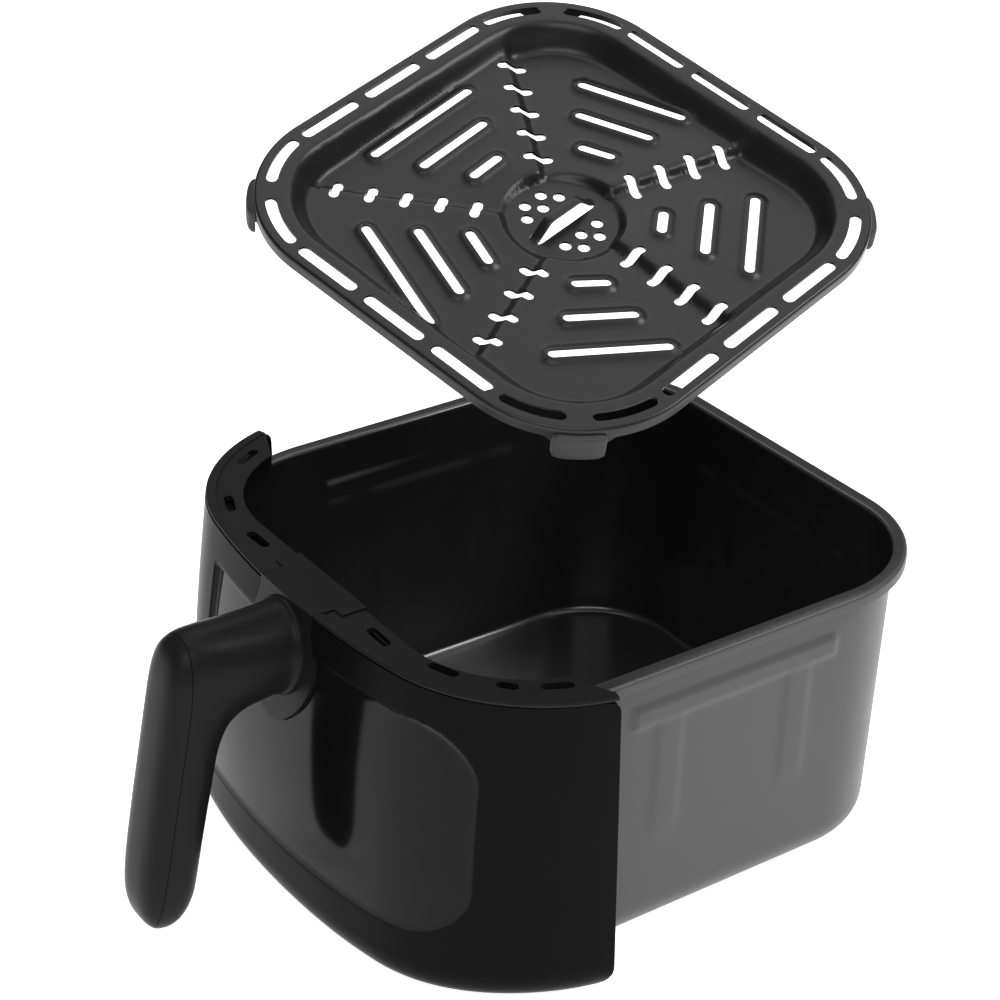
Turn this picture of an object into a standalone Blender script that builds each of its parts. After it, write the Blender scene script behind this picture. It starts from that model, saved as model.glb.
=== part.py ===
"""Drawer of an air fryer with its lift-out crisper plate, held above the pan.

Metres, +Z up. The origin is the middle of the pan's flat underside. The handle is at -Y.
"""

import math

import bmesh
import bpy
from mathutils import Euler, Matrix, Vector

MM = 0.001

# pan, a deep square pot with large corner radii
PAN_HALF = 120 * MM
PAN_CORNER = 60.5 * MM
PAN_HEIGHT = 134.3 * MM
PAN_WALL = 1.1 * MM
LIP = 6.0 * MM
LIP_DROP = 5.0 * MM
LIP_ROUND = 1.6 * MM
PAN_TAPER = 7.0 * MM
PAN_FOOT = 14.4 * MM
WALL_CORNER = 51.5 * MM
CORNER_TAPER = 6.0 * MM
FLOOR_HEIGHT = 10.3 * MM
FLOOR_FILLET = 4.0 * MM

# fascia, the bowed front cover, and the bezel let into its top
FASCIA_TOP = 140.5 * MM
FASCIA_BOTTOM = 1.5 * MM
FASCIA_FRONT = 132.5 * MM
FASCIA_WALL = 2.5 * MM
FASCIA_BULGE = 14.0 * MM
FASCIA_FOOT = 14.0 * MM
BOW_RADIUS = 408 * MM
BOW_HALF = 70 * MM
SIDE_RADIUS = 78.4 * MM
SIDE_END = math.radians(77.5)
FASCIA_HALF = 133.1 * MM
TRIM_THICKNESS = 2.4 * MM
TRIM_INNER_HALF = 110.5 * MM
TRIM_INNER_CORNER = 52 * MM
GAP = 0.3 * MM

# handle
NECK_HALF = 17.5 * MM
NECK_TOP = 137.5 * MM
NECK_BOTTOM = 100.5 * MM
NECK_ROOT = -136 * MM
GRIP_WIDTH = 31 * MM
BOLT_HEIGHT = 119 * MM
# the parting line between the handle's two mouldings, as (y, z) in millimetres
COVER_LINE = [(-180.0, 138.6), (-184.0, 112.0), (-192.0, 74.0), (-200.0, 35.0), (-203.5, 12.0)]

# crisper plate, in its own frame with the flange's top face at height zero
PLATE_HALF = 102.1 * MM
PLATE_CORNER = 53.9 * MM
PLATE_SHEET = 1.2 * MM
SKIRT_DEPTH = 5.5 * MM
TAB_DEPTH = 10.5 * MM
OUTLINE_STEPS = 6
TAB_STEPS = (2, 3, 4)
DISH_HALF = 88.5 * MM
DISH_DEPTH = 9.2 * MM
HUB_RADIUS = 23 * MM
HUB_DEPTH = 12.3 * MM
SLOT_LINE = 6.45 * MM
SLOT_WIDTH = 3.6 * MM
PLATE_LIFT = 277.9 * MM
PLATE_TURN = (13.252, 17.140, 15.603)


def clear_scene():
    for item in list(bpy.data.objects):
        bpy.data.objects.remove(item, do_unlink=True)


def finish_material(item, color, roughness, metallic=0.0):
    made = bpy.data.materials.new(item.name + "_finish")
    made.use_nodes = True
    shader = made.node_tree.nodes["Principled BSDF"]
    shader.inputs["Base Color"].default_value = (*color, 1)
    shader.inputs["Roughness"].default_value = roughness
    shader.inputs["Metallic"].default_value = metallic
    item.data.materials.clear()
    item.data.materials.append(made)


def object_from(name, work, look):
    bmesh.ops.recalc_face_normals(work, faces=work.faces)
    mesh = bpy.data.meshes.new(name)
    work.to_mesh(mesh)
    work.free()
    item = bpy.data.objects.new(name, mesh)
    bpy.context.scene.collection.objects.link(item)
    finish_material(item, *look)
    return item


def rounded_square(half, corner, height, steps=6, half_y=None):
    """Points of a square with round corners, anticlockwise from +X."""
    half_y = half if half_y is None else half_y
    points = []
    for quarter in range(4):
        sign_x = 1 if quarter in (0, 3) else -1
        sign_y = 1 if quarter in (0, 1) else -1
        middle = Vector((sign_x * (half - corner), sign_y * (half_y - corner), height))
        for step in range(steps + 1):
            turn = math.pi / 2 * (quarter + step / steps)
            points.append(middle + Vector((math.cos(turn), math.sin(turn), 0)) * corner)
    return points


def loft(rings):
    """One closed body from a list of rings with equal counts, capped at both ends."""
    work = bmesh.new()
    rows = [[work.verts.new(p) for p in ring] for ring in rings]
    count = len(rows[0])
    for low, high in zip(rows, rows[1:]):
        for i in range(count):
            j = (i + 1) % count
            work.faces.new((low[i], low[j], high[j], high[i]))
    work.faces.new(rows[0])
    work.faces.new(rows[-1])
    return work


def prism(outline, low, high, axis=2):
    """A flat outline pushed from low to high along an axis."""
    rings = []
    for level in (low, high):
        ring = []
        for a, b in outline:
            spot = {0: (level, a, b), 1: (a, level, b), 2: (a, b, level)}[axis]
            ring.append(Vector(spot))
        rings.append(ring)
    return loft(rings)


def lathe(profile, middle, direction, steps=12):
    """A solid turned about a line: profile holds (distance along, radius)."""
    turn = Vector(direction).to_track_quat("Z", "Y").to_matrix()
    rings = []
    for along, radius in profile:
        ring = []
        for step in range(steps):
            angle = 2 * math.pi * step / steps
            local = Vector((radius * math.cos(angle), radius * math.sin(angle), along))
            ring.append(Vector(middle) + turn @ local)
        rings.append(ring)
    return loft(rings)


def cut(item, tools):
    """Take each closed tool shape away from an object."""
    for tool in tools:
        bmesh.ops.recalc_face_normals(tool, faces=tool.faces)
        mesh = bpy.data.meshes.new("tool")
        tool.to_mesh(mesh)
        tool.free()
        cutter = bpy.data.objects.new("tool_of_" + item.name, mesh)
        bpy.context.scene.collection.objects.link(cutter)
        cutter.hide_render = True
        cutter.display_type = "WIRE"
        boolean = item.modifiers.new("cut", "BOOLEAN")
        boolean.operation = "DIFFERENCE"
        boolean.object = cutter


def merged(shapes):
    """Join closed shapes that don't meet into one tool."""
    whole = bmesh.new()
    for shape in shapes:
        bmesh.ops.recalc_face_normals(shape, faces=shape.faces)
        mesh = bpy.data.meshes.new("piece")
        shape.to_mesh(mesh)
        shape.free()
        whole.from_mesh(mesh)
        bpy.data.meshes.remove(mesh)
    return whole


def slot_outline(x, y, angle, length, width, steps=3):
    """A slot with round ends, centred on x, y and running along angle."""
    reach = max(length / 2 - width / 2, 0)
    points = []
    for end in (0, 1):
        for step in range(steps + 1):
            turn = -math.pi / 2 + math.pi * (end + step / steps)
            along = (reach if end == 0 else -reach) + width / 2 * math.cos(turn)
            across = width / 2 * math.sin(turn)
            points.append(
                (
                    x + along * math.cos(angle) - across * math.sin(angle),
                    y + along * math.sin(angle) + across * math.cos(angle),
                )
            )
    return points


# ---------------------------------------------------------------- pan


def wall_half(height):
    """Half the pan's outside width at a height on its tapered wall."""
    share = (PAN_HEIGHT - height) / PAN_HEIGHT
    return PAN_HALF - LIP - PAN_TAPER * share


def wall_corner(height):
    """The wall's corner radius at a height, on its outside."""
    share = (PAN_HEIGHT - height) / PAN_HEIGHT
    return WALL_CORNER - CORNER_TAPER * share


def make_pan():
    rings = []
    for turn in (0, 30, 60, 90):
        angle = math.radians(turn)
        inward = PAN_FOOT * (1 - math.sin(angle))
        height = PAN_FOOT * (1 - math.cos(angle))
        half = wall_half(PAN_FOOT) - inward
        rings.append(rounded_square(half, wall_corner(PAN_FOOT) - inward, height))
    lip_low = PAN_HEIGHT - LIP_DROP
    rings.append(rounded_square(wall_half(lip_low), wall_corner(lip_low), lip_low))
    lip_turns = [(0, -LIP_DROP), (0, -LIP_ROUND), (-LIP_ROUND, 0), (-LIP, 0)]
    for shift, drop in lip_turns:
        height = PAN_HEIGHT + drop
        rings.append(rounded_square(PAN_HALF + shift, PAN_CORNER + shift, height))
    inner_top = PAN_HEIGHT - LIP_ROUND
    fillet_top = FLOOR_HEIGHT + FLOOR_FILLET
    for height in (inner_top, fillet_top):
        half = wall_half(height) - PAN_WALL
        rings.append(rounded_square(half, wall_corner(height) - PAN_WALL, height))
    for turn in (60, 30, 0):
        angle = math.radians(turn)
        inward = FLOOR_FILLET * (1 - math.sin(angle)) + PAN_WALL
        height = FLOOR_HEIGHT + FLOOR_FILLET * (1 - math.cos(angle))
        half = wall_half(fillet_top) - inward
        rings.append(rounded_square(half, wall_corner(fillet_top) - inward, height))
    return object_from("basket_pan", loft(rings), ((0.025, 0.025, 0.026), 0.42, 0.4))


# ---------------------------------------------------------------- fascia and bezel


def bow_point(share, shift=0.0, bulge=0.0):
    """A point of the fascia's outline from -1 to 1, moved inward by shift.

    The bulge pushes the middle forward and fades to nothing at the two ends.
    """
    bend = math.asin(BOW_HALF / BOW_RADIUS)
    middle_length = BOW_RADIUS * bend
    side_length = SIDE_RADIUS * (SIDE_END - bend)
    along = abs(share) * (middle_length + side_length)
    if along <= middle_length:
        angle = along / BOW_RADIUS
        x = BOW_RADIUS * math.sin(angle)
        y = -FASCIA_FRONT + BOW_RADIUS * (1 - math.cos(angle))
    else:
        angle = bend + (along - middle_length) / SIDE_RADIUS
        x = BOW_HALF + SIDE_RADIUS * (math.sin(angle) - math.sin(bend))
        y = -FASCIA_FRONT + BOW_RADIUS * (1 - math.cos(bend))
        y += SIDE_RADIUS * (math.cos(bend) - math.cos(angle))
    y -= bulge * (1 - (x / FASCIA_HALF) ** 4)
    x -= shift * math.sin(angle)
    y += shift * math.cos(angle)
    return (math.copysign(x, share), y)


def bow_shares(count):
    return [-1 + 2 * i / count for i in range(count + 1)]


def bow_bulge(height):
    """How much further forward than its top the middle of the fascia is at a height."""
    share = (FASCIA_TOP - height) / (FASCIA_TOP - FASCIA_BOTTOM)
    return FASCIA_BULGE * math.sin(min(share / 0.8, 1) * math.pi / 2)


def fascia_rings(inward, levels, count=24):
    rings = []
    for height in levels:
        above = height - FASCIA_BOTTOM
        tuck = 0.0
        if above < FASCIA_FOOT:
            reach = FASCIA_FOOT - above
            tuck = FASCIA_FOOT - math.sqrt(FASCIA_FOOT**2 - reach**2)
            tuck = tuck * 0.8
        row = []
        for share in bow_shares(count):
            x, y = bow_point(share, inward + tuck, bow_bulge(height))
            row.append(Vector((x, y, height)))
        rings.append(row)
    return rings


def sheet_solid(outer, inner):
    """Close two matching grids of points into one shell."""
    work = bmesh.new()
    front = [[work.verts.new(p) for p in row] for row in outer]
    back = [[work.verts.new(p) for p in row] for row in inner]
    rows, columns = len(front), len(front[0])
    for r in range(rows - 1):
        for c in range(columns - 1):
            for grid in (front, back):
                a, b = grid[r][c], grid[r][c + 1]
                d, e = grid[r + 1][c + 1], grid[r + 1][c]
                work.faces.new((a, b, d, e))
    for r in (0, rows - 1):
        for c in range(columns - 1):
            edge = (front[r][c], front[r][c + 1], back[r][c + 1], back[r][c])
            work.faces.new(edge)
    for c in (0, columns - 1):
        for r in range(rows - 1):
            edge = (front[r][c], front[r + 1][c], back[r + 1][c], back[r][c])
            work.faces.new(edge)
    return work


def mount_hole(grow, low, high, top_grow=0.0):
    """A U-shaped block where the handle's root goes through the front."""
    outline = []
    half = 19.5 * MM + grow
    bottom = 88 * MM - grow
    for step in range(9):
        angle = math.pi + math.pi * step / 8
        outline.append((half * math.cos(angle), bottom + 19.5 * MM * (1 + math.sin(angle))))
    top = FASCIA_TOP + top_grow
    outline = [(-half, top)] + outline + [(half, top)]
    return prism(outline, low, high, axis=1)


def make_fascia():
    feet = [FASCIA_BOTTOM + FASCIA_FOOT * k for k in (0, 0.13, 0.5, 1)]
    levels = feet + [42 * MM, 68 * MM, 104 * MM, FASCIA_TOP]
    outer = fascia_rings(0, levels)
    inner = fascia_rings(FASCIA_WALL, levels)
    work = sheet_solid(outer, inner)
    item = object_from("front_fascia", work, ((0.018, 0.018, 0.019), 0.3))
    hole = mount_hole(GAP, -160 * MM, -100 * MM, top_grow=5 * MM)
    cut(item, [hole])
    return item


def inner_edge(count):
    """The bezel's inside edge, round the front of the pan from left to right."""
    points = []
    middle = TRIM_INNER_HALF - TRIM_INNER_CORNER
    for side in (-1, 1):
        arc = []
        for step in range(count + 1):
            angle = math.radians(8 + 82 * step / count)
            x = middle + TRIM_INNER_CORNER * math.cos(angle)
            y = -middle - TRIM_INNER_CORNER * math.sin(angle)
            arc.append((side * x, y))
        points += arc if side < 0 else arc[::-1]
    return points


TRIM_SLOTS = [
    (-46, -119.3, 2, 15),
    (-80, -113.0, -24, 14),
    (-110.5, -89.0, -60, 13),
    (46, -119.3, -2, 15),
    (80, -113.0, 24, 14),
    (103, -98.5, 45, 8),
    (113, -83.0, 63, 13),
]


def make_trim():
    outer = [bow_point(s, FASCIA_WALL + GAP) for s in bow_shares(28)]
    outline = outer[::-1] + inner_edge(6)
    low = FASCIA_TOP - TRIM_THICKNESS
    item = object_from("top_trim", prism(outline, low, FASCIA_TOP), ((0.03, 0.03, 0.031), 0.5))
    tools = []
    for x, y, angle, length in TRIM_SLOTS:
        shape = slot_outline(x * MM, y * MM, math.radians(angle), length * MM, 4.2 * MM)
        tools.append(prism(shape, low - MM, FASCIA_TOP + MM))
    notch = [
        (97 * MM, -94 * MM),
        (93 * MM, -98.5 * MM),
        (89.5 * MM, -95 * MM),
        (93.5 * MM, -90.5 * MM),
    ]
    tools.append(prism(notch, low - MM, FASCIA_TOP + MM))
    bridge = 20 * MM + GAP
    step = 26 * MM + GAP
    gap_outline = [
        (-bridge, -140 * MM),
        (bridge, -140 * MM),
        (bridge, -122 * MM),
        (step, -122 * MM),
        (step, -105 * MM),
        (-step, -105 * MM),
        (-step, -122 * MM),
        (-bridge, -122 * MM),
    ]
    tools.append(prism(gap_outline, low - MM, FASCIA_TOP + MM))
    cut(item, tools)
    return split_trim(item)


def split_trim(left):
    """The bezel is two mouldings, one each side of the handle's root."""
    right = left.copy()
    right.data = left.data.copy()
    right.name = "top_trim_right"
    left.name = "top_trim_left"
    bpy.context.scene.collection.objects.link(right)
    for half, side in ((left, 1), (right, -1)):
        edge = sorted((0.0, side * 0.2))
        outline = [(edge[0], -0.2), (edge[1], -0.2), (edge[1], 0.0), (edge[0], 0.0)]
        cut(half, [prism(outline, FASCIA_TOP - 0.01, FASCIA_TOP + 0.01)])
    return left, right


# ---------------------------------------------------------------- handle


def make_mount_cover():
    """The escutcheon round the neck, which runs back over the top to the pan's rim."""
    low = FASCIA_TOP - TRIM_THICKNESS
    plate = mount_hole(0, -135.5 * MM, -127 * MM)
    item = object_from("handle_mount_cover", plate, ((0.022, 0.022, 0.023), 0.34))
    top_outline = [
        (-20 * MM, -129 * MM),
        (20 * MM, -129 * MM),
        (20 * MM, -121.7 * MM),
        (26 * MM, -121.7 * MM),
        (26 * MM, -110.5 * MM),
        (-26 * MM, -110.5 * MM),
        (-26 * MM, -121.7 * MM),
        (-20 * MM, -121.7 * MM),
    ]
    tongue = prism(top_outline, low, FASCIA_TOP)
    bmesh.ops.recalc_face_normals(tongue, faces=tongue.faces)
    mesh = bpy.data.meshes.new("tongue")
    tongue.to_mesh(mesh)
    tongue.free()
    adder = bpy.data.objects.new("tool_tongue", mesh)
    bpy.context.scene.collection.objects.link(adder)
    adder.hide_render = True
    adder.display_type = "WIRE"
    union = item.modifiers.new("join", "BOOLEAN")
    union.operation = "UNION"
    union.object = adder
    radius = NECK_HALF - 2 * MM
    hole = lathe([(0, radius), (20 * MM, radius)], (0, -142 * MM, BOLT_HEIGHT), (0, 1, 0), 16)
    cut(item, [hole])
    return item


def make_handle_body():
    """The inner, larger half of the handle: neck and the back of the grip."""
    inside = [
        (NECK_ROOT, NECK_TOP),
        (NECK_ROOT, NECK_BOTTOM),
        (-150 * MM, 99.5 * MM),
        (-161 * MM, 98 * MM),
        (-168 * MM, 92 * MM),
        (-171.5 * MM, 82 * MM),
        (-174 * MM, 70 * MM),
        (-179.5 * MM, 47 * MM),
        (-183.5 * MM, 25 * MM),
        (-188 * MM, 13.5 * MM),
    ]
    cover = [(y * MM, z * MM) for y, z in COVER_LINE[1:]]
    outline = inside + cover[::-1] + [(-180.2 * MM, NECK_TOP)]
    half = GRIP_WIDTH / 2
    work = prism(outline, -half, half, axis=0)
    item = object_from("handle_body", work, ((0.024, 0.024, 0.025), 0.36))
    bevel = item.modifiers.new("round", "BEVEL")
    bevel.width = 4.5 * MM
    bevel.segments = 2
    bevel.limit_method = "ANGLE"
    bevel.angle_limit = math.radians(60)
    core = lathe([(0, 4.3 * MM), (44 * MM, 4.3 * MM)], (0, -178 * MM, BOLT_HEIGHT), (0, 1, 0), 10)
    cut(item, [core])
    return item


def make_grip_cover():
    """The outer shell of the handle, from the top corner down the grip's front."""
    back = [(y * MM - GAP, z * MM) for y, z in COVER_LINE]
    front = [
        (-184.5, 138.6),
        (-188.3, 132),
        (-191, 121),
        (-195.5, 97),
        (-200.5, 72),
        (-206.5, 42),
        (-208.6, 27),
        (-207, 13),
    ]
    outline = back + [(y * MM, z * MM) for y, z in front][::-1]
    half = GRIP_WIDTH / 2
    work = prism(outline, -half, half, axis=0)
    item = object_from("grip_cover", work, ((0.022, 0.022, 0.023), 0.33))
    bevel = item.modifiers.new("round", "BEVEL")
    bevel.width = 2.2 * MM
    bevel.segments = 2
    bevel.limit_method = "ANGLE"
    bevel.angle_limit = math.radians(50)
    return item


def make_handle_core():
    """Steel tube nut inside the neck that the mount bolt screws into."""
    profile = [(0, 4.0 * MM), (38.5 * MM, 4.0 * MM)]
    work = lathe(profile, (0, -176.5 * MM, BOLT_HEIGHT), (0, 1, 0), 10)
    item = object_from("handle_core", work, ((0.5, 0.5, 0.5), 0.35, 1.0))
    bore = lathe([(0, 2.3 * MM), (30 * MM, 2.3 * MM)], (0, -160 * MM, BOLT_HEIGHT), (0, 1, 0), 8)
    cut(item, [bore])
    return item


# ---------------------------------------------------------------- bracket, shield and screws


def make_bracket():
    """Pressed steel bracket between the pan's front wall and the handle."""
    outline = [
        (-38 * MM, -115.1 * MM),
        (-38 * MM, -116.5 * MM),
        (-24 * MM, -117.0 * MM),
        (-24 * MM, -123.9 * MM),
        (24 * MM, -123.9 * MM),
        (24 * MM, -117.0 * MM),
        (38 * MM, -116.5 * MM),
        (38 * MM, -115.1 * MM),
        (22.5 * MM, -115.1 * MM),
        (22.5 * MM, -122.4 * MM),
        (-22.5 * MM, -122.4 * MM),
        (-22.5 * MM, -115.1 * MM),
    ]
    work = prism(outline, 84 * MM, 127 * MM)
    item = object_from("pan_bracket", work, ((0.45, 0.45, 0.46), 0.4, 1.0))
    bolt_hole = [(0, 2.4 * MM), (8 * MM, 2.4 * MM)]
    tools = [lathe(bolt_hole, (0, -126 * MM, BOLT_HEIGHT), (0, 1, 0), 8)]
    for side in (-1, 1):
        spot = (side * 31 * MM, -119 * MM, 106 * MM)
        tools.append(lathe([(0, 2.3 * MM), (8 * MM, 2.3 * MM)], spot, (0, 1, 0), 8))
    cut(item, [merged(tools)])
    return item


def make_shield():
    """Plastic inner liner that closes the back of the fascia."""
    count = 16
    outer, inner = [], []
    for height in (24 * MM, 32 * MM, 50 * MM, 74 * MM, 82 * MM):
        row, back = [], []
        for share in bow_shares(count):
            x, y = bow_point(share * 0.9, 6 * MM, bow_bulge(height))
            u, v = bow_point(share * 0.9, 7.8 * MM, bow_bulge(height))
            row.append(Vector((x, y, height)))
            back.append(Vector((u, v, height)))
        outer.append(row)
        inner.append(back)
    item = object_from("inner_liner", sheet_solid(outer, inner), ((0.05, 0.05, 0.05), 0.6))
    tools = []
    for spot, direction in liner_screw_places().values():
        tools.append(lathe([(0, 2.0 * MM), (9 * MM, 2.0 * MM)], spot, direction, 8))
    cut(item, [merged(tools)])
    return item


def liner_screw_places():
    """Name to the middle of the head's top and the way into the fascia."""
    places = {}
    for side, word in ((-1, "left"), (1, "right")):
        for height, level in ((32 * MM, "lower"), (74 * MM, "upper")):
            x, y = bow_point(side * 0.62, 10.9 * MM, bow_bulge(height))
            u, v = bow_point(side * 0.62, 0, bow_bulge(height))
            spot = Vector((x, y, height))
            places[level + "_" + word] = (spot, Vector((u - x, v - y, 0)))
    return places


def screw(name, head, direction, length, radius=1.6 * MM, head_radius=3.2 * MM):
    """A pan-head screw: head is the top of its head, direction points into the work."""
    profile = [
        (0, head_radius * 0.8),
        (0.9 * MM, head_radius),
        (2.0 * MM, head_radius),
        (2.01 * MM, radius),
        (length - 1.2 * MM, radius),
        (length, radius * 0.5),
    ]
    work = lathe(profile, head, direction, 8)
    return object_from(name, work, ((0.45, 0.45, 0.46), 0.35, 1.0))


def make_screws():
    bolt_head = (0, -119.9 * MM, BOLT_HEIGHT)
    screw("handle_bolt", bolt_head, (0, -1, 0), 36 * MM, 1.9 * MM, 4.2 * MM)
    for side, word in ((-1, "left"), (1, "right")):
        spot = (side * 31 * MM, -119.4 * MM, 106 * MM)
        screw("bracket_screw_" + word, spot, (0, 1, 0), 4.0 * MM)
    for word, (spot, direction) in liner_screw_places().items():
        screw("liner_screw_" + word, spot, direction, 6.6 * MM)


# ---------------------------------------------------------------- crisper plate


def plate_outline(inset, height):
    return rounded_square(PLATE_HALF - inset, PLATE_CORNER - inset, height, OUTLINE_STEPS)


def skirt_edge(inset):
    """The skirt's lower edge, which drops at each corner into a tab for the bumper."""
    points = plate_outline(inset, -SKIRT_DEPTH)
    for index, spot in enumerate(points):
        if index % (OUTLINE_STEPS + 1) in TAB_STEPS:
            spot.z = -TAB_DEPTH
    return points


def hub_ring(radius, height):
    """A circle with as many points as the plate's outline, in the same directions."""
    points = []
    for spot in plate_outline(0, 0):
        points.append(spot.normalized() * radius + Vector((0, 0, height)))
    return points


def make_plate(parent):
    """The pressed sheet: flange, skirt, dished floor and a deeper hub."""
    sheet = PLATE_SHEET
    dish_inset = PLATE_HALF - DISH_HALF
    top = [
        skirt_edge(sheet),
        skirt_edge(0),
        plate_outline(0, -1.5 * MM),
        plate_outline(1.2 * MM, 0),
        plate_outline(dish_inset - 1 * MM, 0),
        plate_outline(dish_inset, -1.0 * MM),
        plate_outline(dish_inset + 3 * MM, -DISH_DEPTH),
        hub_ring(HUB_RADIUS, -DISH_DEPTH),
        hub_ring(HUB_RADIUS - 1.5 * MM, -HUB_DEPTH),
    ]
    under = [
        hub_ring(HUB_RADIUS - 2.2 * MM, -HUB_DEPTH - sheet),
        hub_ring(HUB_RADIUS + 0.8 * MM, -DISH_DEPTH - sheet),
        plate_outline(dish_inset + 2.3 * MM, -DISH_DEPTH - sheet),
        plate_outline(dish_inset - 1.1 * MM, -sheet - 0.6 * MM),
        plate_outline(sheet + 0.8 * MM, -sheet),
    ]
    count = len(top[0])
    work = bmesh.new()
    rows = [[work.verts.new(p) for p in ring] for ring in top]
    low = [[work.verts.new(p) for p in ring] for ring in under]
    for group in (rows, low):
        for a, b in zip(group, group[1:]):
            for i in range(count):
                j = (i + 1) % count
                work.faces.new((a[i], a[j], b[j], b[i]))
    work.faces.new(rows[-1])
    work.faces.new(low[0])
    for i in range(count):
        j = (i + 1) % count
        work.faces.new((low[-1][i], low[-1][j], rows[0][j], rows[0][i]))
    item = object_from("crisper_plate", work, ((0.05, 0.05, 0.052), 0.38, 0.4))
    item.parent = parent
    cut_plate(item, parent)
    return item


def cut_plate(item, parent):
    low, high = -20 * MM, 5 * MM
    tools = []
    line = PLATE_HALF - SLOT_LINE
    for quarter in range(4):
        turn = quarter * math.pi / 2
        for along, length in ((-35.4 * MM, 30 * MM), (0, 30 * MM), (35.4 * MM, 30 * MM)):
            x = line * math.cos(turn) - along * math.sin(turn)
            y = line * math.sin(turn) + along * math.cos(turn)
            shape = slot_outline(x, y, turn + math.pi / 2, length, SLOT_WIDTH)
            tools.append(prism(shape, low, high))
        middle = PLATE_HALF - PLATE_CORNER
        reach = PLATE_CORNER - SLOT_LINE
        for angle in (21.5, 68.5):
            bend = math.radians(angle)
            x0 = middle + reach * math.cos(bend)
            y0 = middle + reach * math.sin(bend)
            x = x0 * math.cos(turn) - y0 * math.sin(turn)
            y = x0 * math.sin(turn) + y0 * math.cos(turn)
            shape = slot_outline(x, y, turn + bend + math.pi / 2, 22 * MM, SLOT_WIDTH)
            tools.append(prism(shape, low, high))
    for sector in range(5):
        turn = math.radians(38 + 72 * sector)
        for reach, length in ((39.5 * MM, 17 * MM), (57.5 * MM, 35 * MM), (75.5 * MM, 50 * MM)):
            x, y = reach * math.cos(turn), reach * math.sin(turn)
            shape = slot_outline(x, y, turn + math.pi / 2, length, SLOT_WIDTH)
            tools.append(prism(shape, low, high))
        spoke = math.radians(72 * sector)
        for step in range(4):
            reach = (34.5 + 13.9 * step) * MM
            side = 3.3 * MM
            x = reach * math.cos(spoke) - side * math.sin(spoke)
            y = reach * math.sin(spoke) + side * math.cos(spoke)
            shape = slot_outline(x, y, spoke + math.radians(70), 9 * MM, 3.2 * MM, 2)
            tools.append(prism(shape, low, high))
    for side in (-1, 1):
        for x, y in ((10.3, 9.4), (10.3, 0), (10.3, -9.4), (15.9, 4.7), (15.9, -4.7)):
            shape = slot_outline(side * x * MM, y * MM, 0, 4.6 * MM, 3.4 * MM, 2)
            tools.append(prism(shape, low, high))
    tools.append(prism(slot_outline(0, 0, math.pi / 2, 32 * MM, 6 * MM), low, high))
    cut(item, [merged(tools)])
    item.modifiers[-1].object.parent = parent


def make_bumper(name, quarter, parent):
    """Silicone pad on a corner of the plate's skirt."""
    turn = math.radians(45 + 90 * quarter)
    middle = Vector((PLATE_HALF - PLATE_CORNER,) * 2).to_3d()
    rows_out, rows_in = [], []
    for height, grow in ((-15.5, 2.2), (-13.5, 3.2), (-6.5, 3.2), (-4.2, 2.2)):
        out, back = [], []
        for step in range(-4, 5):
            angle = math.radians(45 + 12 * step / 4)
            fall = 1 - 0.35 * (abs(step) / 4) ** 4
            direction = Vector((math.cos(angle), math.sin(angle), 0))
            level = Vector((0, 0, height * MM))
            out.append(middle + direction * (PLATE_CORNER + grow * fall * MM) + level)
            back.append(middle + direction * (PLATE_CORNER + GAP) + level)
        rows_out.append(out)
        rows_in.append(back)
    work = sheet_solid(rows_out, rows_in)
    bmesh.ops.rotate(work, verts=work.verts, matrix=Matrix.Rotation(turn - math.pi / 4, 3, "Z"))
    item = object_from(name, work, ((0.09, 0.09, 0.09), 0.55))
    item.parent = parent
    return item


def make_plate_group():
    carrier = bpy.data.objects.new("plate_carrier", None)
    bpy.context.scene.collection.objects.link(carrier)
    carrier.location = (0, 0, PLATE_LIFT)
    carrier.rotation_euler = Euler([math.radians(a) for a in PLATE_TURN], "XYZ")
    make_plate(carrier)
    names = ("bumper_rear_right", "bumper_rear_left", "bumper_front_left", "bumper_front_right")
    for quarter, name in enumerate(names):
        make_bumper(name, quarter, carrier)


def main():
    clear_scene()
    make_pan()
    make_fascia()
    make_trim()
    make_mount_cover()
    make_handle_body()
    make_grip_cover()
    make_handle_core()
    make_bracket()
    make_shield()
    make_screws()
    make_plate_group()


main()
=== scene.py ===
import math

import bmesh
import bpy
from mathutils import Euler, Matrix, Vector
from mathutils.geometry import delaunay_2d_cdt


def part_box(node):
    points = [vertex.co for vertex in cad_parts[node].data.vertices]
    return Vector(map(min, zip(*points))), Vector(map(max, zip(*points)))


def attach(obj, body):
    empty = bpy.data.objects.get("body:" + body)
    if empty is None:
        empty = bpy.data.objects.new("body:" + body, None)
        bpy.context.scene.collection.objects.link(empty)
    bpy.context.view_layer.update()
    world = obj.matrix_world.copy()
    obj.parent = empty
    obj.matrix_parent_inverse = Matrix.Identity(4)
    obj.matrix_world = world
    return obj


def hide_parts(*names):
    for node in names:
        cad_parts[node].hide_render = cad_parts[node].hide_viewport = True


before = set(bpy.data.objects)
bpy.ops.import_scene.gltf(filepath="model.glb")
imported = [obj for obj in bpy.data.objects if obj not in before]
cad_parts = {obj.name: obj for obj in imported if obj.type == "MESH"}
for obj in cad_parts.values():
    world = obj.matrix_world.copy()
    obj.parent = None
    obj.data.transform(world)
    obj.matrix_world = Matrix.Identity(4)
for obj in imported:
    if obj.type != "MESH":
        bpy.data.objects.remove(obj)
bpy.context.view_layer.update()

MM = 0.001

# sizes read from the frame, in mm
PAN_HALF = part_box("basket_pan")[1].x / MM
PAN_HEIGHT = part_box("basket_pan")[1].z / MM
FASCIA_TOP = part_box("front_fascia")[1].z / MM
FASCIA_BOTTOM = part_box("front_fascia")[0].z / MM
FASCIA_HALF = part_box("front_fascia")[1].x / MM

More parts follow.
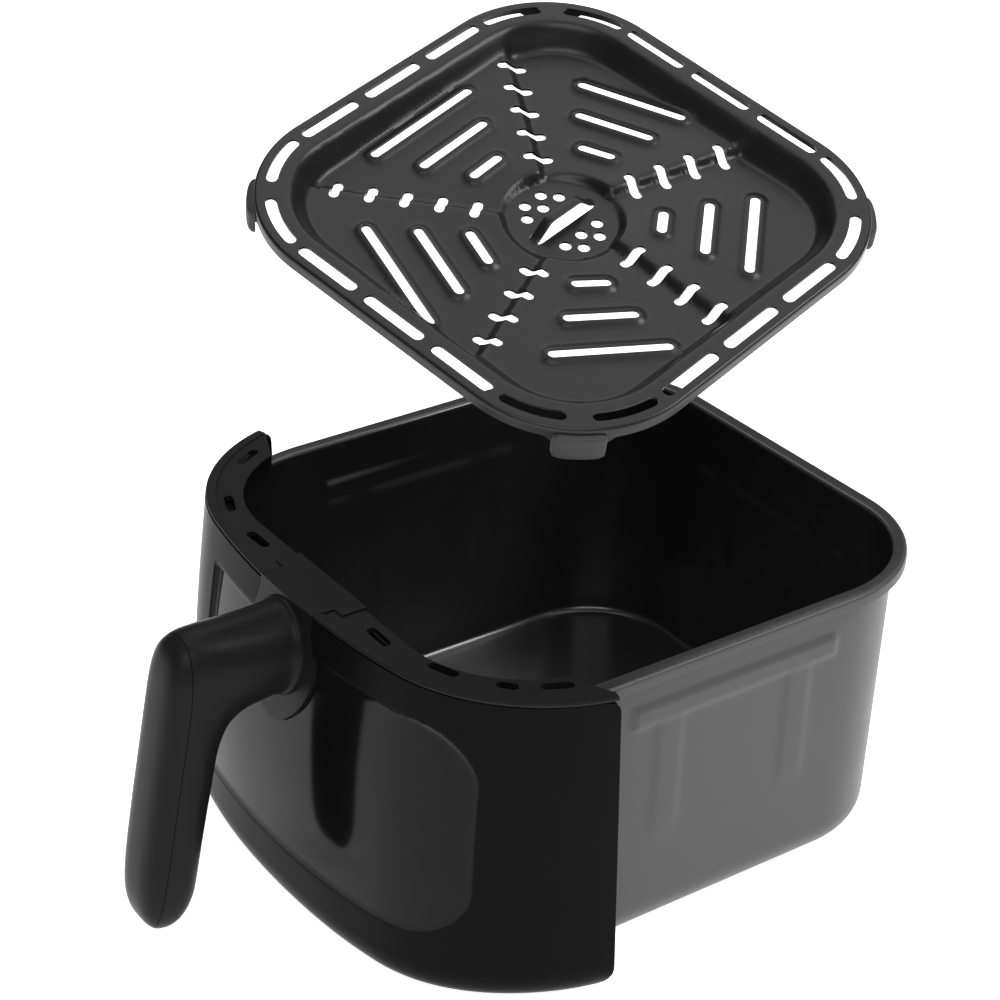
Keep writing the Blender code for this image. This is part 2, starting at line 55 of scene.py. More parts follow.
# pan, in mm
SHEET = 1.1
LIP_DROP = 5.0
LIP_ROUND = 1.6
PAN_CORNER = 60.5
WALL_TOP = 113.6
WALL_TAPER = 6.4
WALL_CORNER = 51.0
CORNER_TAPER = 6.0
PAN_FOOT = 16.5
FLOOR_HEIGHT = 10.3
FLOOR_FILLET = 4.0
RIB_DEPTH = 1.25
RIB_SOFT = 2.4

# fascia outline, in mm: a flat arc in the middle and a tight one at each side
FASCIA_FRONT = 132.5
FASCIA_BULGE = 14.0
FASCIA_FOOT = 14.0
BOW_RADIUS = 408.0
BOW_HALF = 70.0
SIDE_RADIUS = 78.4
SIDE_END = math.radians(77.5)
SEAM_HEIGHT = FASCIA_TOP - 1.9

# crisper plate in its own frame, in mm, with the flange's top face at height zero
PLATE_HALF = 102.1
PLATE_CORNER = 53.9
PLATE_SHEET = 1.0
PLATE_EDGE = 1.3
SKIRT_DEPTH = 5.2
TAB_DEPTH = 9.0
PLATE_LIFT = 277.9
PLATE_TURN = (13.252, 17.140, 15.603)
FLANGE_INSET = 13.0
DISH_INSET = 22.0
DISH_HIGH = -7.4
DISH_LOW = -11.0
HUB_INNER = 22.0
HUB_OUTER = 26.0
HUB_DEPTH = -12.3
SPOKE_SHIFT = 3.3
SPOKE_RUN = 4.4
RIDGE_RISE = 1.6
RIDGE_REACH = 4.4


# ---------------------------------------------------------------- materials


def add_noise(tree, place, scale, detail):
    noise = tree.nodes.new("ShaderNodeTexNoise")
    noise.inputs["Scale"].default_value = scale
    noise.inputs["Detail"].default_value = detail
    tree.links.new(place.outputs["Object"], noise.inputs["Vector"])
    return noise


def spread(tree, source, low, high):
    """Map a noise, whose values crowd round a half, onto a range."""
    ranged = tree.nodes.new("ShaderNodeMapRange")
    ranged.inputs["From Min"].default_value = 0.3
    ranged.inputs["From Max"].default_value = 0.7
    ranged.inputs["To Min"].default_value = low
    ranged.inputs["To Max"].default_value = high
    tree.links.new(source.outputs["Fac"], ranged.inputs["Value"])
    return ranged


def math_node(tree, operation, *values):
    """A math node fed with outputs or plain numbers; gives its output."""
    node = tree.nodes.new("ShaderNodeMath")
    node.operation = operation
    for slot, value in zip(node.inputs, values):
        if isinstance(value, (int, float)):
            slot.default_value = value
        else:
            tree.links.new(value, slot)
    return node.outputs["Value"]


def surface(name, color, roughness, grain=1400, bump=0.04, mottle=0.12, specular=0.5, metallic=0.0):
    """A moulded or coated surface: fine grain in the relief, slow change in tone and gloss."""
    made = bpy.data.materials.new(name)
    made.use_nodes = True
    tree = made.node_tree
    shader = tree.nodes["Principled BSDF"]
    place = tree.nodes.new("ShaderNodeTexCoord")
    fine = add_noise(tree, place, grain, 3)
    broad = add_noise(tree, place, 28, 4)
    tone = tree.nodes.new("ShaderNodeMix")
    tone.data_type = "RGBA"
    tone.inputs[6].default_value = (*[c * (1 - mottle) for c in color], 1)
    tone.inputs[7].default_value = (*[c * (1 + mottle) for c in color], 1)
    mixed = tree.nodes.new("ShaderNodeMath")
    mixed.operation = "ADD"
    tree.links.new(spread(tree, fine, 0.0, 0.6).outputs["Result"], mixed.inputs[0])
    tree.links.new(spread(tree, broad, 0.0, 0.4).outputs["Result"], mixed.inputs[1])
    tree.links.new(mixed.outputs["Value"], tone.inputs[0])
    tree.links.new(tone.outputs[2], shader.inputs["Base Color"])
    gloss = spread(tree, broad, roughness - 0.03, roughness + 0.03)
    tree.links.new(gloss.outputs["Result"], shader.inputs["Roughness"])
    relief = tree.nodes.new("ShaderNodeBump")
    relief.inputs["Strength"].default_value = bump
    relief.inputs["Distance"].default_value = 0.2 * MM
    tree.links.new(fine.outputs["Fac"], relief.inputs["Height"])
    tree.links.new(relief.outputs["Normal"], shader.inputs["Normal"])
    shader.inputs["Specular IOR Level"].default_value = specular
    shader.inputs["Metallic"].default_value = metallic
    return made


PAN_INSIDE = surface("pan_inside_coating", (0.014, 0.014, 0.014), 0.24, grain=1800, specular=0.7)
PAN_OUTSIDE = surface("pan_outside_coating", (0.042, 0.042, 0.042), 0.42, grain=1600, specular=0.36)
FASCIA_LOOK = surface("fascia_plastic", (0.004, 0.004, 0.004), 0.3, grain=2200, bump=0.03, specular=0.07)
TRIM_LOOK = surface("trim_plastic", (0.008, 0.008, 0.008), 0.45, grain=1500, bump=0.08, specular=0.12)
HANDLE_LOOK = surface("handle_plastic", (0.009, 0.009, 0.009), 0.34, 2400, bump=0.03, specular=0.08)
PLATE_LOOK = surface("plate_coating", (0.006, 0.006, 0.006), 0.32, grain=1500, bump=0.06, specular=0.3)
SILICONE = surface("silicone", (0.036, 0.036, 0.037), 0.55, 900, 0.05, mottle=0.06, specular=0.25)
LINER_LOOK = surface("liner_plastic", (0.03, 0.03, 0.03), 0.6, grain=1200, bump=0.1)
STEEL = surface("zinc_plated_steel", (0.5, 0.5, 0.5), 0.34, grain=700, bump=0.05, metallic=1.0)


# the panel let into the fascia: left, right, bottom, top and corner radii, in mm
PANEL = (-65.0, 108.0, 31.0, 125.0)
PANEL_CORNERS = (4.0, 24.0)


def polish_panel(look):
    """Make the let-in panel glossier than the border round it."""
    left, right, bottom, top = PANEL
    tree = look.node_tree
    shader = tree.nodes["Principled BSDF"]
    place = tree.nodes.new("ShaderNodeTexCoord")
    split = tree.nodes.new("ShaderNodeSeparateXYZ")
    tree.links.new(place.outputs["Object"], split.inputs["Vector"])
    x, z = split.outputs["X"], split.outputs["Z"]
    on_right = math_node(tree, "GREATER_THAN", x, 0.0)
    change = (PANEL_CORNERS[1] - PANEL_CORNERS[0]) * MM
    corner = math_node(tree, "MULTIPLY_ADD", on_right, change, PANEL_CORNERS[0] * MM)
    reaches = []
    for value, low, high in ((x, left, right), (z, bottom, top)):
        away = math_node(tree, "ABSOLUTE", math_node(tree, "SUBTRACT", value, (low + high) / 2 * MM))
        past = math_node(tree, "SUBTRACT", away, (high - low) / 2 * MM)
        reaches.append(math_node(tree, "MAXIMUM", math_node(tree, "ADD", past, corner), 0.0))
    squares = [math_node(tree, "MULTIPLY", reach, reach) for reach in reaches]
    edge = math_node(tree, "SQRT", math_node(tree, "ADD", *squares))
    edge = math_node(tree, "SUBTRACT", edge, corner)
    for socket, border, panel in (("Roughness", 0.3, 0.09), ("Specular IOR Level", 0.03, 0.11)):
        ranged = tree.nodes.new("ShaderNodeMapRange")
        ranged.interpolation_type = "SMOOTHSTEP"
        ranged.inputs["From Min"].default_value = -1.2 * MM
        ranged.inputs["From Max"].default_value = 0.0
        ranged.inputs["To Min"].default_value = panel
        ranged.inputs["To Max"].default_value = border
        tree.links.new(edge, ranged.inputs["Value"])
        tree.links.new(ranged.outputs["Result"], shader.inputs[socket])


polish_panel(FASCIA_LOOK)


# ---------------------------------------------------------------- small tools


def smooth(low, high, value):
    share = min(max((value - low) / (high - low), 0.0), 1.0)
    return share * share * (3 - 2 * share)


def band(value, half, soft):
    """One inside a half width, nothing outside it, with a soft edge centred on it."""
    return 1 - smooth(half - soft / 2, half + soft / 2, abs(value))


def through(knots, count):
    """A smooth run of points through knots, Catmull-Rom, count steps to each span."""
    knots = [Vector(k) for k in knots]
    padded = [2 * knots[0] - knots[1]] + knots + [2 * knots[-1] - knots[-2]]
    points = []
    for a, b, c, d in zip(padded, padded[1:], padded[2:], padded[3:]):
        for step in range(count):
            t = step / count
            linear = (c - a) * t
            square = (2 * a - 5 * b + 4 * c - d) * t * t
            cube = (3 * b - a - 3 * c + d) * t * t * t
            points.append(b + (linear + square + cube) / 2)
    points.append(knots[-1])
    return points


def finish_object(name, work, looks):
    mesh = bpy.data.meshes.new(name)
    work.to_mesh(mesh)
    work.free()
    made = bpy.data.objects.new(name, mesh)
    bpy.context.scene.collection.objects.link(made)
    for look in looks:
        mesh.materials.append(look)
    return made


def bake(item):
    """Make an object's modifiers part of its mesh."""
    graph = bpy.context.evaluated_depsgraph_get()
    graph.update()
    mesh = bpy.data.meshes.new_from_object(item.evaluated_get(graph))
    item.modifiers.clear()
    item.data = mesh


def settle(item, angle=35):
    """Bake an object, then smooth it and sharpen only its real edges."""
    bake(item)
    item.data.shade_smooth()
    item.data.set_sharp_from_angle(angle=math.radians(angle))


def boolean(item, tools, operation="DIFFERENCE"):
    cutters = []
    for tool in tools:
        bmesh.ops.recalc_face_normals(tool, faces=tool.faces)
        cutter = finish_object("cutter", tool, [])
        change = item.modifiers.new("cut", "BOOLEAN")
        change.operation = operation
        change.object = cutter
        cutters.append(cutter)
    settle(item)
    for cutter in cutters:
        bpy.data.objects.remove(cutter)


def bevel(item, width, segments=3, angle=40):
    change = item.modifiers.new("edges", "BEVEL")
    change.width = width * MM
    change.segments = segments
    change.limit_method = "ANGLE"
    change.angle_limit = math.radians(angle)
    settle(item)
    weigh = item.modifiers.new("weigh", "WEIGHTED_NORMAL")
    weigh.keep_sharp = True
    bake(item)


def place(item, body, nodes, slot):
    """Put a piece on its body, in its CAD nodes' place; the slot argument is not used."""
    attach(item, body)
    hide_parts(*nodes)


def skin(work, rows, closed=True):
    """Quads between rows of vertices; facing the left of a row as it climbs."""
    count = len(rows[0])
    for low, high in zip(rows, rows[1:]):
        for i in range(count if closed else count - 1):
            j = (i + 1) % count
            work.faces.new((low[i], high[i], high[j], low[j]))


def close_shell(work, outer, inner):
    """Skin two matching grids of vertices and join them along all four borders."""
    skin(work, outer, closed=False)
    skin(work, inner, closed=False)
    for pair in ((outer[0], inner[0]), (outer[-1], inner[-1])):
        skin(work, pair, closed=False)
    for side in (0, -1):
        skin(work, [[row[side] for row in outer], [row[side] for row in inner]], closed=False)


def loft(rings):
    """One closed body through rings of points, capped at both ends."""
    work = bmesh.new()
    rows = [[work.verts.new(Vector(p) * MM) for p in ring] for ring in rings]
    skin(work, rows)
    work.faces.new(rows[0])
    work.faces.new(rows[-1])
    bmesh.ops.recalc_face_normals(work, faces=work.faces)
    return work


def prism(outline, low, high, axis=2):
    """A flat outline pushed from low to high along an axis."""
    rings = []
    for level in (low, high):
        spots = {
            0: [(level, a, b) for a, b in outline],
            1: [(a, level, b) for a, b in outline],
            2: [(a, b, level) for a, b in outline],
        }
        rings.append(spots[axis])
    return loft(rings)


def slot_loop(x, y, angle, length, width, straight=5, cap=6):
    """Outline of a slot with round ends, centred on x, y and running along angle."""
    reach = length / 2 - width / 2
    along = Vector((math.cos(angle), math.sin(angle)))
    across = Vector((-along.y, along.x))
    points = []
    for end in (1, -1):
        for step in range(cap):
            turn = -math.pi / 2 + math.pi * step / cap
            out = along * math.cos(turn) + across * math.sin(turn)
            points.append(Vector((x, y)) + end * (along * reach + out * width / 2))
        for step in range(straight):
            share = 1 - 2 * step / straight
            points.append(Vector((x, y)) + end * (along * reach * share + across * width / 2))
    return points


# ---------------------------------------------------------------- pan

SIDE_STEPS = 72
CORNER_STEPS = 18
WALL_STEPS = 62
# how far the lip's underside starts from the wall
LIP_NECK = 0.4
# the middle of each wall's pressed pattern, along the wall: right, back, left
RIB_MIDDLE = {0: 6.0, 1: -5.0, 2: -1.0}
BAR_HALF = 51.0
BAR_HEIGHT = 110.2
LEG_PLACE = 32.3
LEG_HALF = 6.2
LEG_SOFT = 4.0


def square_stations(half, corner):
    """Round a square with round corners: point, outward direction, side and place along it."""
    stations = []
    straight = half - corner
    for side in range(4):
        turn = Matrix.Rotation(side * math.pi / 2, 2)
        for step in range(SIDE_STEPS):
            along = straight * (2 * step / SIDE_STEPS - 1)
            spot = Vector((half, along))
            stations.append((turn @ spot, turn @ Vector((1, 0)), side, along))
        for step in range(CORNER_STEPS):
            angle = math.pi / 2 * step / CORNER_STEPS
            out = Vector((math.cos(angle), math.sin(angle)))
            spot = Vector((straight, straight)) + out * corner
            stations.append((turn @ spot, turn @ out, side, None))
    return stations


def rib(side, along, height):
    """Depth of the pressed pattern: a level bar with two legs that fade out lower down."""
    if along is None or side not in RIB_MIDDLE:
        return 0.0
    along -= RIB_MIDDLE[side]
    bar = band(along, BAR_HALF, RIB_SOFT) * band(height - BAR_HEIGHT, 5.0, RIB_SOFT)
    leg = band(abs(along) - LEG_PLACE, LEG_HALF, LEG_SOFT)
    leg *= smooth(42, 60, height) * (1 - smooth(108, 112, height))
    return RIB_DEPTH * max(bar, leg * 0.5)


def wall_ring(height):
    """Half width and corner radius of the wall's outside at a height."""
    share = (PAN_HEIGHT - height) / PAN_HEIGHT
    return WALL_TOP - WALL_TAPER * share, WALL_CORNER - CORNER_TAPER * share


def quarter_turn(middle, radius, height, steps, sign):
    """Levels round a fillet at the foot of the wall; sign is 1 from the floor up."""
    levels = []
    for step in range(steps + 1):
        angle = math.pi / 2 * (step if sign > 0 else steps - step) / steps
        inward = radius * (1 - math.sin(angle))
        levels.append((middle[0] - inward, middle[1] - inward, height + radius * (1 - math.cos(angle))))
    return levels


def pan_levels():
    """Half widths, corner radii and heights: floor, inside wall, lip, outside wall, underside.

    Also gives how many of the levels belong to the inside.
    """
    fillet_top = FLOOR_HEIGHT + FLOOR_FILLET
    half, corner = wall_ring(fillet_top)
    foot = (half - SHEET, corner - SHEET)
    levels = []
    floor_half, floor_corner = foot[0] - FLOOR_FILLET, foot[1] - FLOOR_FILLET
    for share in (0.04, 0.25, 0.5, 0.72, 0.88):
        levels.append((floor_half * share, floor_corner * share, FLOOR_HEIGHT))
    levels += quarter_turn(foot, FLOOR_FILLET, FLOOR_HEIGHT, 6, 1)
    lip_foot = PAN_HEIGHT - LIP_ROUND
    for step in range(1, WALL_STEPS + 1):
        height = fillet_top + (lip_foot - fillet_top) * step / WALL_STEPS
        half, corner = wall_ring(height)
        levels.append((half - SHEET, corner - SHEET, height))
    half, corner = wall_ring(lip_foot)
    for step in range(1, 5):
        angle = math.pi / 2 * step / 4
        outward = LIP_ROUND * (1 - math.cos(angle)) - SHEET
        levels.append((half + outward, corner + outward, lip_foot + LIP_ROUND * math.sin(angle)))
    inside_count = len(levels)
    for step in range(5):
        angle = math.pi / 2 * step / 4
        inward = LIP_ROUND * (1 - math.sin(angle))
        height = PAN_HEIGHT - LIP_ROUND * (1 - math.cos(angle))
        levels.append((PAN_HALF - inward, PAN_CORNER - inward, height))
    edge = PAN_HEIGHT - LIP_DROP
    levels.append((PAN_HALF, PAN_CORNER, edge))
    levels.append((PAN_HALF - SHEET, PAN_CORNER - SHEET, edge))
    levels.append((PAN_HALF - SHEET, PAN_CORNER - SHEET, PAN_HEIGHT - SHEET))
    half, corner = wall_ring(lip_foot)
    levels.append((half + LIP_NECK, corner + LIP_NECK, PAN_HEIGHT - SHEET))
    for step in range(WALL_STEPS + 1):
        height = lip_foot - (lip_foot - PAN_FOOT) * step / WALL_STEPS
        levels.append((*wall_ring(height), height))
    levels += quarter_turn(wall_ring(PAN_FOOT), PAN_FOOT, 0.0, 10, -1)[1:]
    return levels, inside_count


def make_pan():
    levels, inside_count = pan_levels()
    work = bmesh.new()
    rows = []
    for half, corner, height in levels:
        row = []
        for spot, out, side, along in square_stations(half, corner):
            if PAN_FOOT < height < PAN_HEIGHT - LIP_ROUND and half < WALL_TOP:
                spot = spot + out * rib(side, along, height)
            row.append(work.verts.new(Vector((spot.x, spot.y, height)) * MM))
        rows.append(row)
    for index, (low, high) in enumerate(zip(rows, rows[1:])):
        first = len(work.faces)
        skin(work, [low, high])
        work.faces.ensure_lookup_table()
        for face in work.faces[first:]:
            face.material_index = 0 if index < inside_count else 1
    work.faces.new(rows[0])
    under = work.faces.new(rows[-1])
    under.material_index = 1
    bmesh.ops.recalc_face_normals(work, faces=work.faces)
    item = finish_object("pan_body", work, [PAN_INSIDE, PAN_OUTSIDE])
    settle(item, 50)
    place(item, "drawer", ["basket_pan"], "pan_coating")


# ---------------------------------------------------------------- fascia and bezel


def bow_length():
    bend = math.asin(BOW_HALF / BOW_RADIUS)
    return BOW_RADIUS * bend + SIDE_RADIUS * (SIDE_END - bend)


def bow_point(share, shift=0.0, bulge=0.0):
    """A point of the fascia's outline from -1 to 1, moved inward by shift."""
    bend = math.asin(BOW_HALF / BOW_RADIUS)
    along = abs(share) * bow_length()
    if along <= BOW_RADIUS * bend:
        angle = along / BOW_RADIUS
        x = BOW_RADIUS * math.sin(angle)
        y = -FASCIA_FRONT + BOW_RADIUS * (1 - math.cos(angle))
    else:
        angle = bend + (along - BOW_RADIUS * bend) / SIDE_RADIUS
        x = BOW_HALF + SIDE_RADIUS * (math.sin(angle) - math.sin(bend))
        y = -FASCIA_FRONT + BOW_RADIUS * (1 - math.cos(bend))
        y += SIDE_RADIUS * (math.cos(bend) - math.cos(angle))
    y -= bulge * (1 - (x / FASCIA_HALF) ** 4)
    x -= shift * math.sin(angle)
    y += shift * math.cos(angle)
    return math.copysign(x, share), y


def bow_bulge(height):
    """How much further forward than its top the middle of the fascia is at a height."""
    share = (FASCIA_TOP - height) / (FASCIA_TOP - FASCIA_BOTTOM)
    return FASCIA_BULGE * math.sin(min(share / 0.8, 1) * math.pi / 2)


def recess(x, height):
    """How far the front panel is let in: deepest at its upper left, fading downward."""
    left, right, bottom, top = PANEL
    corner = PANEL_CORNERS[1] if x > 0 else PANEL_CORNERS[0]
    reach_x = abs(x - (left + right) / 2) - (right - left) / 2 + corner
    reach_z = abs(height - (bottom + top) / 2) - (top - bottom) / 2 + corner
    edge = math.hypot(max(reach_x, 0), max(reach_z, 0)) + min(max(reach_x, reach_z), 0) - corner
    across = min(max((x - left) / (right - left), 0), 1)
    up = min(max((height - bottom) / (top - bottom), 0), 1)
    depth = (2.6 - 1.4 * across) * (0.3 + 0.7 * up)
    return depth * smooth(0, 2.2, -edge)


# right half of the handle's mount below its top, from the top down
KEYHOLE_SIDE = [
    (20.3, 134),
    (22.8, 127),
    (25.2, 120),
    (25, 112),
    (21.5, 103),
    (15, 95),
    (7.5, 89),
    (0, 87),
]


def keyhole(grow=0.0):
    """Outline of the handle's mount on the fascia, from its top left round to its top right."""
    side = [(20, FASCIA_TOP + grow)] + KEYHOLE_SIDE
    half = [Vector((x + grow if x else 0, z - (grow if z < 100 else 0))) for x, z in side]
    curve = through(half, 4)
    return [(-p.x, p.y) for p in curve] + [(p.x, p.y) for p in curve[-2::-1]]


def make_fascia():
    levels = []
    for step in range(9):
        angle = math.pi / 2 * step / 8
        levels.append(FASCIA_BOTTOM + FASCIA_FOOT * (1 - math.cos(angle)))
    steps = 96
    low = FASCIA_BOTTOM + FASCIA_FOOT
    for step in range(1, steps + 1):
        levels.append(low + (SEAM_HEIGHT - low) * step / steps)
    columns = 250
    work = bmesh.new()
    outer, inner = [], []
    for height in levels:
        reach = max(low - height, 0)
        tuck = 0.8 * (FASCIA_FOOT - math.sqrt(max(FASCIA_FOOT**2 - reach**2, 0)))
        ends = 0.0
        for radius, gap in ((5.0, SEAM_HEIGHT - height), (12.0, height - FASCIA_BOTTOM)):
            if gap < radius:
                ends += radius - math.sqrt(radius**2 - (radius - gap) ** 2)
        limit = 1 - ends / bow_length()
        front, back = [], []
        for column in range(columns + 1):
            share = limit * (2 * column / columns - 1)
            x, y = bow_point(share, 0, bow_bulge(height))
            depth = recess(x, height)
            x, y = bow_point(share, tuck + depth, bow_bulge(height))
            u, v = bow_point(share, tuck + max(2.5, depth + 1.5), bow_bulge(height))
            front.append(work.verts.new(Vector((x, y, height)) * MM))
            back.append(work.verts.new(Vector((u, v, height)) * MM))
        outer.append(front)
        inner.append(back)
    close_shell(work, outer, inner)
    bmesh.ops.recalc_face_normals(work, faces=work.faces)
    item = finish_object("fascia_shell", work, [FASCIA_LOOK])
    boolean(item, [prism(keyhole(0.35), -170, -100, axis=1)])
    bevel(item, 0.5, 2, 50)
    place(item, "drawer", ["front_fascia"], "fascia_plastic")


TRIM_SLOTS = [
    (-46, -119.3, 2, 15),
    (-79.5, -114.3, -22, 14),
    (-112.5, -87.5, -60, 14),
    (46.5, -118.2, -2, 15),
    (80, -110.3, 20, 14),
    (102.5, -96.5, 38, 9),
    (113, -81.0, 62, 13),
]


# the bezel's section: distance in from its outer outline and height from its top
TRIM_OUTER = [(0.15, -1.6), (0.0, -0.7), (0.25, -0.2), (0.7, 0), (4.1, 0), (4.4, -0.15), (4.6, -0.6)]
# then distance out from its inside edge, down its inner skirt and back under it
TRIM_INNER = [(0.7, -0.6), (0.2, -0.8), (0, -1.3), (0.1, -5.6), (1.6, -5.6), (1.7, -2.9)]
# where the bezel starts beside the handle's root, and where it ends, as shares of the outline
TRIM_START = 0.05
TRIM_REACH = {-1: 0.915, 1: 0.945}
LATCH_NOTCH = [(98, -93), (94.5, -98.5), (90, -95), (93, -89), (97, -88)]


def inner_edge(share):
    """The bezel's inside edge, with the same shares as the outer outline."""
    middle, radius = 58.5, 53.2
    sweep = math.radians(73)
    total = middle + radius * sweep
    along = abs(share) * total
    if along <= middle:
        return math.copysign(along, share), -(middle + radius)
    angle = (along - middle) / radius
    x = middle + radius * math.sin(angle)
    y = -(middle + radius * math.cos(angle))
    return math.copysign(x, share), y


def make_trim(name, node, side):
    """One half of the bezel: an outer band, a step down, the slotted top and an inner skirt."""
    top = FASCIA_TOP
    steps = 90
    rings = []
    for step in range(steps + 1):
        share = side * (TRIM_START + TRIM_REACH[side] * step / steps)
        ring = []
        for inward, height in TRIM_OUTER:
            x, y = bow_point(share, inward)
            ring.append((x, y, top + height))
        x, y = inner_edge(share)
        far = Vector(bow_point(share, 4.6))
        near = Vector((x, y))
        out = (far - near).normalized()
        for outward, height in TRIM_INNER:
            spot = near + out * outward
            ring.append((spot.x, spot.y, top + height))
        x, y = bow_point(share, 3.2)
        ring.append((x, y, top - 2.9))
        rings.append(ring)
    item = finish_object(name, loft(rings), [TRIM_LOOK])
    tools = []
    for x, y, angle, length in TRIM_SLOTS:
        if x * side > 0:
            tools.append(prism(slot_loop(x, y, math.radians(angle), length, 4.2), top - 4, top + 1))
    if side > 0:
        tools.append(prism(LATCH_NOTCH, top - 7, top + 1))
    root = [(20.4, -140), (20.4, -122), (26.4, -122), (26.4, -100), (0, -100), (0, -140)]
    tools.append(prism([(x * side, y) for x, y in root], top - 7, top + 1))
    boolean(item, tools)
    bevel(item, 0.35, 2, 50)
    place(item, "drawer", [node], "trim_plastic")


# ---------------------------------------------------------------- handle


def make_mount_cover():
    """Escutcheon that follows the bowed front, with a tongue back over the top."""
    work = bmesh.new()
    outer, inner = [], []
    steps, columns = 30, 36
    for step in range(steps + 1):
        height = 80 + (FASCIA_TOP - 80) * step / steps
        front, back = [], []
        for column in range(columns + 1):
            x = 32 * (2 * column / columns - 1)
            share = x / bow_length()
            a, b = bow_point(share, -0.2, bow_bulge(height))
            c, d = bow_point(share, 4.5, bow_bulge(height))
            front.append(work.verts.new(Vector((a, b, height)) * MM))
            back.append(work.verts.new(Vector((c, d, height)) * MM))
        outer.append(front)
        inner.append(back)
    close_shell(work, outer, inner)
    bmesh.ops.recalc_face_normals(work, faces=work.faces)
    item = finish_object("mount_cover_shell", work, [HANDLE_LOOK])
    boolean(item, [prism(keyhole(), -170, -100, axis=1)], "INTERSECT")
    right = [(20, -131), (20, -122.3), (26, -122.3), (26, -111)]
    tongue = [(-20, -131)] + right + [(-26, -111), (-26, -122.3), (-20, -122.3)]
    boolean(item, [prism(tongue, FASCIA_TOP - 2.6, FASCIA_TOP)], "UNION")
    bevel(item, 0.7, 3, 40)
    place(item, "drawer", ["handle_mount_cover"], "handle_plastic")


# stations of the handle, each a front or top point and a back or under point (y, z), and a half width
HANDLE_STATIONS = [
    ((-131.5, 139.0), (-138.6, 99.0), 19.4),
    ((-134.2, 139.0), (-141.4, 99.0), 19.3),
    ((-135.6, 138.3), (-143.2, 100.1), 18.3),
    ((-139.0, 137.9), (-146.0, 100.4), 17.7),
    ((-148.0, 137.8), (-152.0, 99.6), 17.3),
    ((-160.0, 138.0), (-159.5, 98.0), 16.6),
    ((-171.0, 138.3), (-166.0, 93.5), 16.0),
    ((-179.5, 137.6), (-170.3, 85.0), 15.6),
    ((-185.5, 133.8), (-172.8, 76.0), 15.5),
    ((-189.3, 125.0), (-174.8, 67.0), 15.5),
    ((-192.3, 112.0), (-177.0, 58.0), 15.5),
    ((-196.0, 94.0), (-179.2, 48.5), 15.5),
    ((-199.7, 76.5), (-181.2, 39.5), 15.5),
    ((-203.6, 57.0), (-183.2, 30.5), 15.5),
    ((-206.8, 40.0), (-185.0, 23.5), 15.2),
    ((-208.4, 27.0), (-187.8, 17.8), 14.2),
    ((-207.8, 18.0), (-191.5, 13.2), 12.0),
    ((-205.2, 12.2), (-196.0, 10.2), 8.4),
    ((-201.8, 9.6), (-199.0, 9.2), 3.4),
]
# the seam between the handle's two mouldings, as (y, z) from the top down
COVER_LINE = [
    (-178.5, 146),
    (-180, 137.5),
    (-184, 112),
    (-192, 74),
    (-200, 35),
    (-203.5, 18),
    (-204.5, 0),
]


def handle_rings(around=44):
    fronts = through([f for f, b, w in HANDLE_STATIONS], 4)
    backs = through([b for f, b, w in HANDLE_STATIONS], 4)
    widths = through([(w, 0) for f, b, w in HANDLE_STATIONS], 4)
    rings = []
    count = len(fronts)
    for index, (front, back, width) in enumerate(zip(fronts, backs, widths)):
        squareness = 2 + 0.9 * smooth(0.2, 0.5, index / count)
        middle = (front + back) / 2
        half = (front - back) / 2
        ring = []
        for step in range(around):
            turn = 2 * math.pi * step / around
            c, s = math.cos(turn), math.sin(turn)
            deep = math.copysign(abs(c) ** (2 / squareness), c)
            wide = math.copysign(abs(s) ** (2 / squareness), s)
            spot = middle + half * deep
            ring.append((width.x * wide, spot.x, spot.y))
        rings.append(ring)
    return rings


def make_handle(name, node, side):
    """One of the two mouldings either side of the seam: side is 1 for the front cover."""
    item = finish_object(name, loft(handle_rings()), [HANDLE_LOOK])
    line = [(y - side * 0.12, z) for y, z in COVER_LINE]
    far = -100.0 if side > 0 else -240.0
    tool = prism(line + [(far, 0), (far, 146)], -40, 40, axis=0)
    boolean(item, [tool])
    bevel(item, 0.8, 3, 50)
    place(item, "drawer", [node], "handle_plastic")


# ---------------------------------------------------------------- crisper plate


def plate_ring(inset, spacing):
    """Points and outward directions round the plate's outline at an inset."""
    half, corner = PLATE_HALF - inset, PLATE_CORNER - inset
    straight = half - corner
    side_steps = max(int(2 * straight / spacing), 1)
    corner_steps = max(int(corner * math.pi / 2 / spacing), 2)
    found = []
    for side in range(4):
        turn = Matrix.Rotation(side * math.pi / 2, 2)
        for step in range(side_steps):
            along = straight * (2 * step / side_steps - 1)
            found.append((turn @ Vector((half, along)), turn @ Vector((1, 0))))
        for step in range(corner_steps):
            angle = math.pi / 2 * step / corner_steps
            out = Vector((math.cos(angle), math.sin(angle)))
            found.append((turn @ (Vector((straight, straight)) + out * corner), turn @ out))
    return found


def plate_inset(x, y):
    straight = PLATE_HALF - PLATE_CORNER
    reach_x, reach_y = abs(x) - straight, abs(y) - straight
    outside = math.hypot(max(reach_x, 0), max(reach_y, 0)) + min(max(reach_x, reach_y), 0)
    return PLATE_CORNER - outside


# lengths of each sector's three slots, from the hub outward
SECTOR_LENGTHS = [
    (14.4, 32, 46),
    (16.4, 34.7, 48.5),
    (17.3, 38, 57.4),
    (18.9, 38, 57.4),
    (16.3, 30.4, 49.4),
]


def sector_slots():
    """x, y, angle, length and width of the three slots in each of the five sectors."""
    slots = []
    for sector, lengths in enumerate(SECTOR_LENGTHS):
        turn = math.radians(36 + 72 * sector)
        for reach, length in zip((39.5, 57.4, 75.4), lengths):
            x = reach * math.cos(turn) - 3 * math.sin(turn)
            y = reach * math.sin(turn) + 3 * math.cos(turn)
            slots.append((x, y, turn + math.pi / 2, length, 4.2))
    return slots


